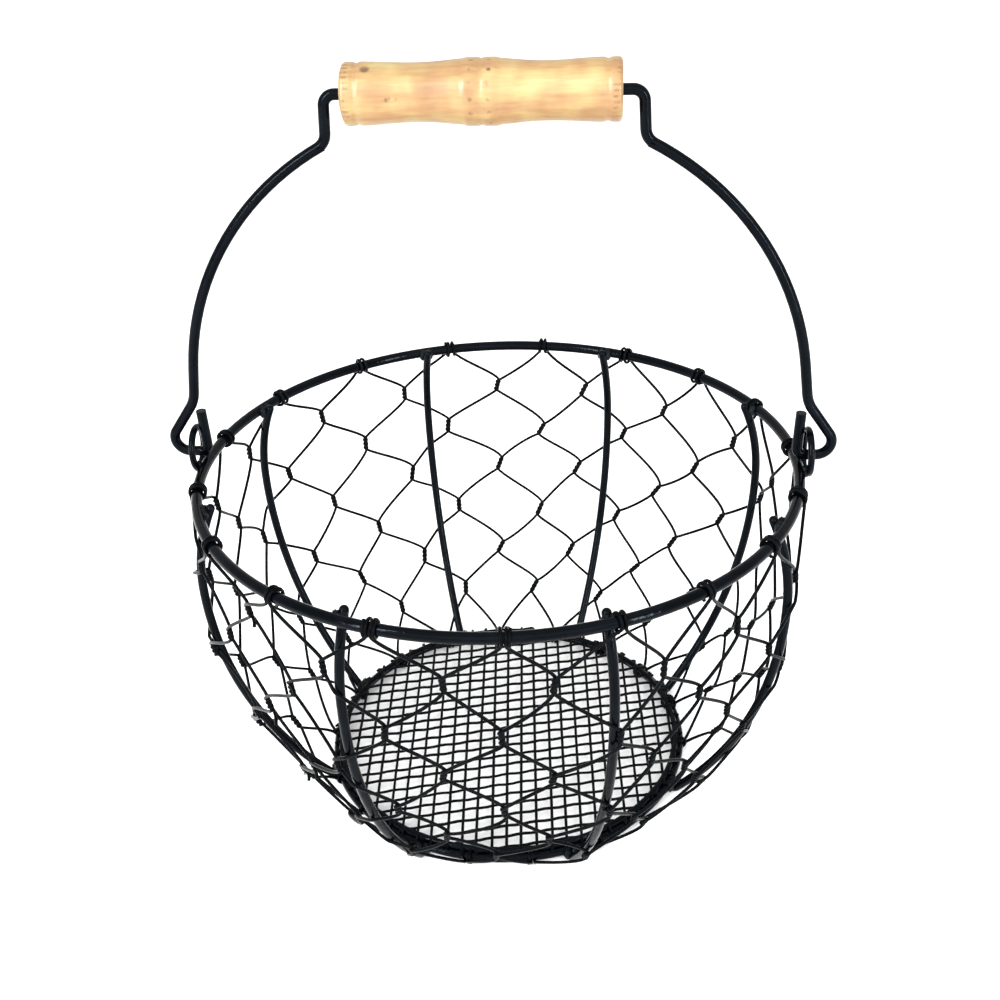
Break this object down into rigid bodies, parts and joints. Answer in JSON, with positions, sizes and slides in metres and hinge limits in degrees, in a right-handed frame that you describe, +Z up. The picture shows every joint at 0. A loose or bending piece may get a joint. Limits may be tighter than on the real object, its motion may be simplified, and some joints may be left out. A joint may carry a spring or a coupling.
{
  "type": "egg collection basket",
  "caption": "Round open wire egg basket: ribs and twisted hexagonal netting between two wire hoops, a square-mesh base, and a swinging bail with a turned wooden grip.",
  "frame": {"origin": "on the ground under the middle of the bowl", "axes": "+Z up, X through the two ears and along the grip, +Y to the back"},
  "size_m": [0.2198, 0.2019, 0.2481],
  "materials": {
    "coated_frame_wire": "semi-gloss black coating on steel wire",
    "coated_netting_wire": "semi-gloss black coating on thin twisted wire",
    "coated_screen_wire": "satin black coating on fine welded mesh",
    "turned_wood": "smooth pale wood under clear varnish"
  },
  "bodies": {
    "basket": {"rim_hoop": "coated_frame_wire", "base_hoop": "coated_frame_wire", "rib_1": "coated_frame_wire", "rib_2": "coated_frame_wire", "rib_3": "coated_frame_wire", "rib_4": "coated_frame_wire", "rib_5": "coated_frame_wire", "rib_6": "coated_frame_wire", "rib_7": "coated_frame_wire", "rib_8": "coated_frame_wire", "netting_wire_01": "coated_netting_wire", "netting_wire_02": "coated_netting_wire", "netting_wire_03": "coated_netting_wire", "netting_wire_04": "coated_netting_wire", "netting_wire_05": "coated_netting_wire", "netting_wire_06": "coated_netting_wire", "netting_wire_07": "coated_netting_wire", "netting_wire_08": "coated_netting_wire", "netting_wire_09": "coated_netting_wire", "netting_wire_10": "coated_netting_wire", "netting_wire_11": "coated_netting_wire", "netting_wire_12": "coated_netting_wire", "netting_wire_13": "coated_netting_wire", "netting_wire_14": "coated_netting_wire", "netting_wire_15": "coated_netting_wire", "netting_wire_16": "coated_netting_wire", "netting_wire_17": "coated_netting_wire", "netting_wire_18": "coated_netting_wire", "netting_wire_19": "coated_netting_wire", "netting_wire_20": "coated_netting_wire", "netting_wire_21": "coated_netting_wire", "netting_wire_22": "coated_netting_wire", "netting_wire_23": "coated_netting_wire", "netting_wire_24": "coated_netting_wire", "netting_wire_25": "coated_netting_wire", "netting_wire_26": "coated_netting_wire", "netting_wire_27": "coated_netting_wire", "netting_wire_28": "coated_netting_wire", "netting_wire_29": "coated_netting_wire", "netting_wire_30": "coated_netting_wire", "netting_wire_31": "coated_netting_wire", "netting_wire_32": "coated_netting_wire", "netting_wire_33": "coated_netting_wire", "netting_wire_34": "coated_netting_wire", "netting_wire_35": "coated_netting_wire", "netting_wire_36": "coated_netting_wire", "base_screen_weft": "coated_screen_wire", "base_screen_warp": "coated_screen_wire", "ear_left": "coated_frame_wire", "ear_right": "coated_frame_wire"},
    "bail": {"bail": "coated_frame_wire"},
    "grip": {"grip": "turned_wood"}
  },
  "joints": [
    {"name": "bail_swing", "type": "hinge", "parent": "basket", "child": "bail", "pos_m": [0, 0, 0.1221], "axis": [1, 0, 0], "range_deg": [-85, 85]},
    {"name": "grip_spin", "type": "hinge", "parent": "bail", "child": "grip", "pos_m": [0, 0, 0.2386], "axis": [1, 0, 0], "continuous": true}
  ]
}
